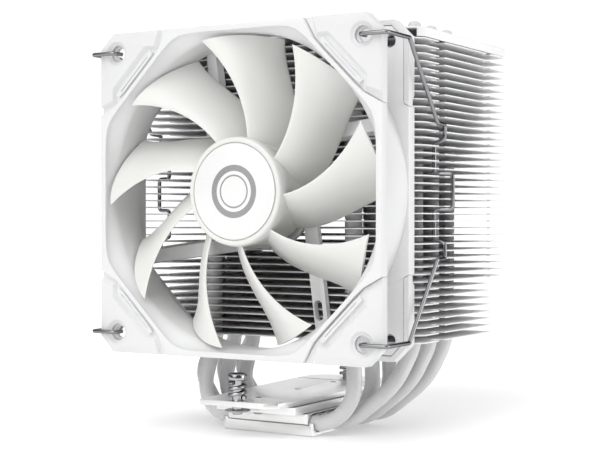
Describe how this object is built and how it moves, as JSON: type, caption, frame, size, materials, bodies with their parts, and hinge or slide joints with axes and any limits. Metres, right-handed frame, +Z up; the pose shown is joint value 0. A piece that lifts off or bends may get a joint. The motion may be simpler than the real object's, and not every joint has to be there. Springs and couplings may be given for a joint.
{
  "type": "cpu tower cooler",
  "caption": "Tower heat sink with folded fins on bent heat pipes over a spring-screw base, cooled by a spinning axial fan held on with wire clips.",
  "frame": {"origin": "centre of the base's contact face", "axes": "+Z up through the fins, -Y towards the fan, +X to the right seen from the fan's side"},
  "size_m": [0.133, 0.1041, 0.154],
  "materials": {
    "frame_plastic": "fine matt moulding",
    "pad_rubber": "smooth soft rubber",
    "blade_plastic": "satin, slightly warm",
    "hub_print": "smooth disc",
    "fin_paint": "satin white coat",
    "pipe_paint": "satin light grey coat",
    "nickel": "nickel plate",
    "chrome": "bright plate",
    "steel": "plain",
    "copper_wire": "enamelled copper winding",
    "circuit_board": "coated board",
    "bronze": "sintered"
  },
  "bodies": {
    "heatsink": {"base_lower_block": "nickel", "base_cover_block": "nickel", "spacer_plate": "nickel", "mounting_bar": "nickel", "bar_screw_front": "chrome", "bar_screw_rear": "chrome", "top_plate": "fin_paint", "fin_group_01": "fin_paint", "fin_group_02": "fin_paint", "fin_group_03": "fin_paint", "fin_group_04": "fin_paint", "fin_group_05": "fin_paint", "fin_group_06": "fin_paint", "fin_group_07": "fin_paint", "fin_group_08": "fin_paint", "fin_group_09": "fin_paint", "fin_group_10": "fin_paint", "fin_group_11": "fin_paint", "fin_group_12": "fin_paint", "fin_group_13": "fin_paint", "fin_group_14": "fin_paint", "heat_pipe_1": "pipe_paint", "heat_pipe_2": "pipe_paint", "heat_pipe_3": "pipe_paint", "heat_pipe_4": "pipe_paint", "heat_pipe_5": "pipe_paint", "heat_pipe_6": "pipe_paint"},
    "fan": {"fan_frame": "frame_plastic", "front_pad_top_right": "pad_rubber", "front_pad_bottom_right": "pad_rubber", "front_pad_bottom_left": "pad_rubber", "front_pad_top_left": "pad_rubber", "rear_pad_top_right": "pad_rubber", "rear_pad_bottom_right": "pad_rubber", "rear_pad_bottom_left": "pad_rubber", "rear_pad_top_left": "pad_rubber", "stator_core": "steel", "stator_winding_1": "copper_wire", "stator_winding_2": "copper_wire", "stator_winding_3": "copper_wire", "stator_winding_4": "copper_wire", "driver_board": "circuit_board", "bearing_sleeve": "bronze", "rear_label_disc": "hub_print"},
    "impeller": {"impeller": "blade_plastic", "hub_cap": "hub_print", "rotor_yoke": "steel", "ring_magnet": "steel", "shaft": "chrome", "shaft_retaining_ring": "steel"},
    "clip_left": {"wire_clip_left": "chrome"},
    "clip_right": {"wire_clip_right": "chrome"},
    "retainer_front": {"retaining_washer_front": "steel", "coil_spring_front": "chrome"},
    "retainer_rear": {"retaining_washer_rear": "steel", "coil_spring_rear": "chrome"},
    "screw_front": {"spring_screw_front": "chrome"},
    "screw_rear": {"spring_screw_rear": "chrome"}
  },
  "joints": [
    {"name": "fan_slide", "type": "slide", "parent": "heatsink", "child": "fan", "axis": [0, 0, 1], "range_m": [-0.004, 0.02]},
    {"name": "impeller_spin", "type": "hinge", "parent": "fan", "child": "impeller", "pos_m": [0, -0.0448, 0.0895], "axis": [0, 1, 0], "continuous": true},
    {"name": "clip_left_release", "type": "hinge", "parent": "fan", "child": "clip_left", "pos_m": [-0.0525, -0.0463, 0.0895], "axis": [0, 0, 1], "range_deg": [0, 14], "stiffness_Nm_per_rad": 0.05, "springref_deg": -5.73},
    {"name": "clip_right_release", "type": "hinge", "parent": "fan", "child": "clip_right", "pos_m": [0.0525, -0.0463, 0.0895], "axis": [0, 0, -1], "range_deg": [0, 14], "stiffness_Nm_per_rad": 0.05, "springref_deg": -5.73},
    {"name": "spring_screw_press_front", "type": "slide", "parent": "heatsink", "child": "retainer_front", "axis": [0, 0, -1], "range_m": [0, 0.002], "stiffness_N_per_m": 3000, "springref_m": -0.002, "deforming": ["coil_spring_front"]},
    {"name": "spring_screw_turn_front", "type": "hinge", "parent": "retainer_front", "child": "screw_front", "pos_m": [-0.0046, -0.0347, 0.0207], "axis": [0, 0, 1], "continuous": true},
    {"name": "spring_screw_press_rear", "type": "slide", "parent": "heatsink", "child": "retainer_rear", "axis": [0, 0, -1], "range_m": [0, 0.002], "stiffness_N_per_m": 3000, "springref_m": -0.002, "deforming": ["coil_spring_rear"]},
    {"name": "spring_screw_turn_rear", "type": "hinge", "parent": "retainer_rear", "child": "screw_rear", "pos_m": [-0.0046, 0.0481, 0.0207], "axis": [0, 0, 1], "continuous": true}
  ]
}
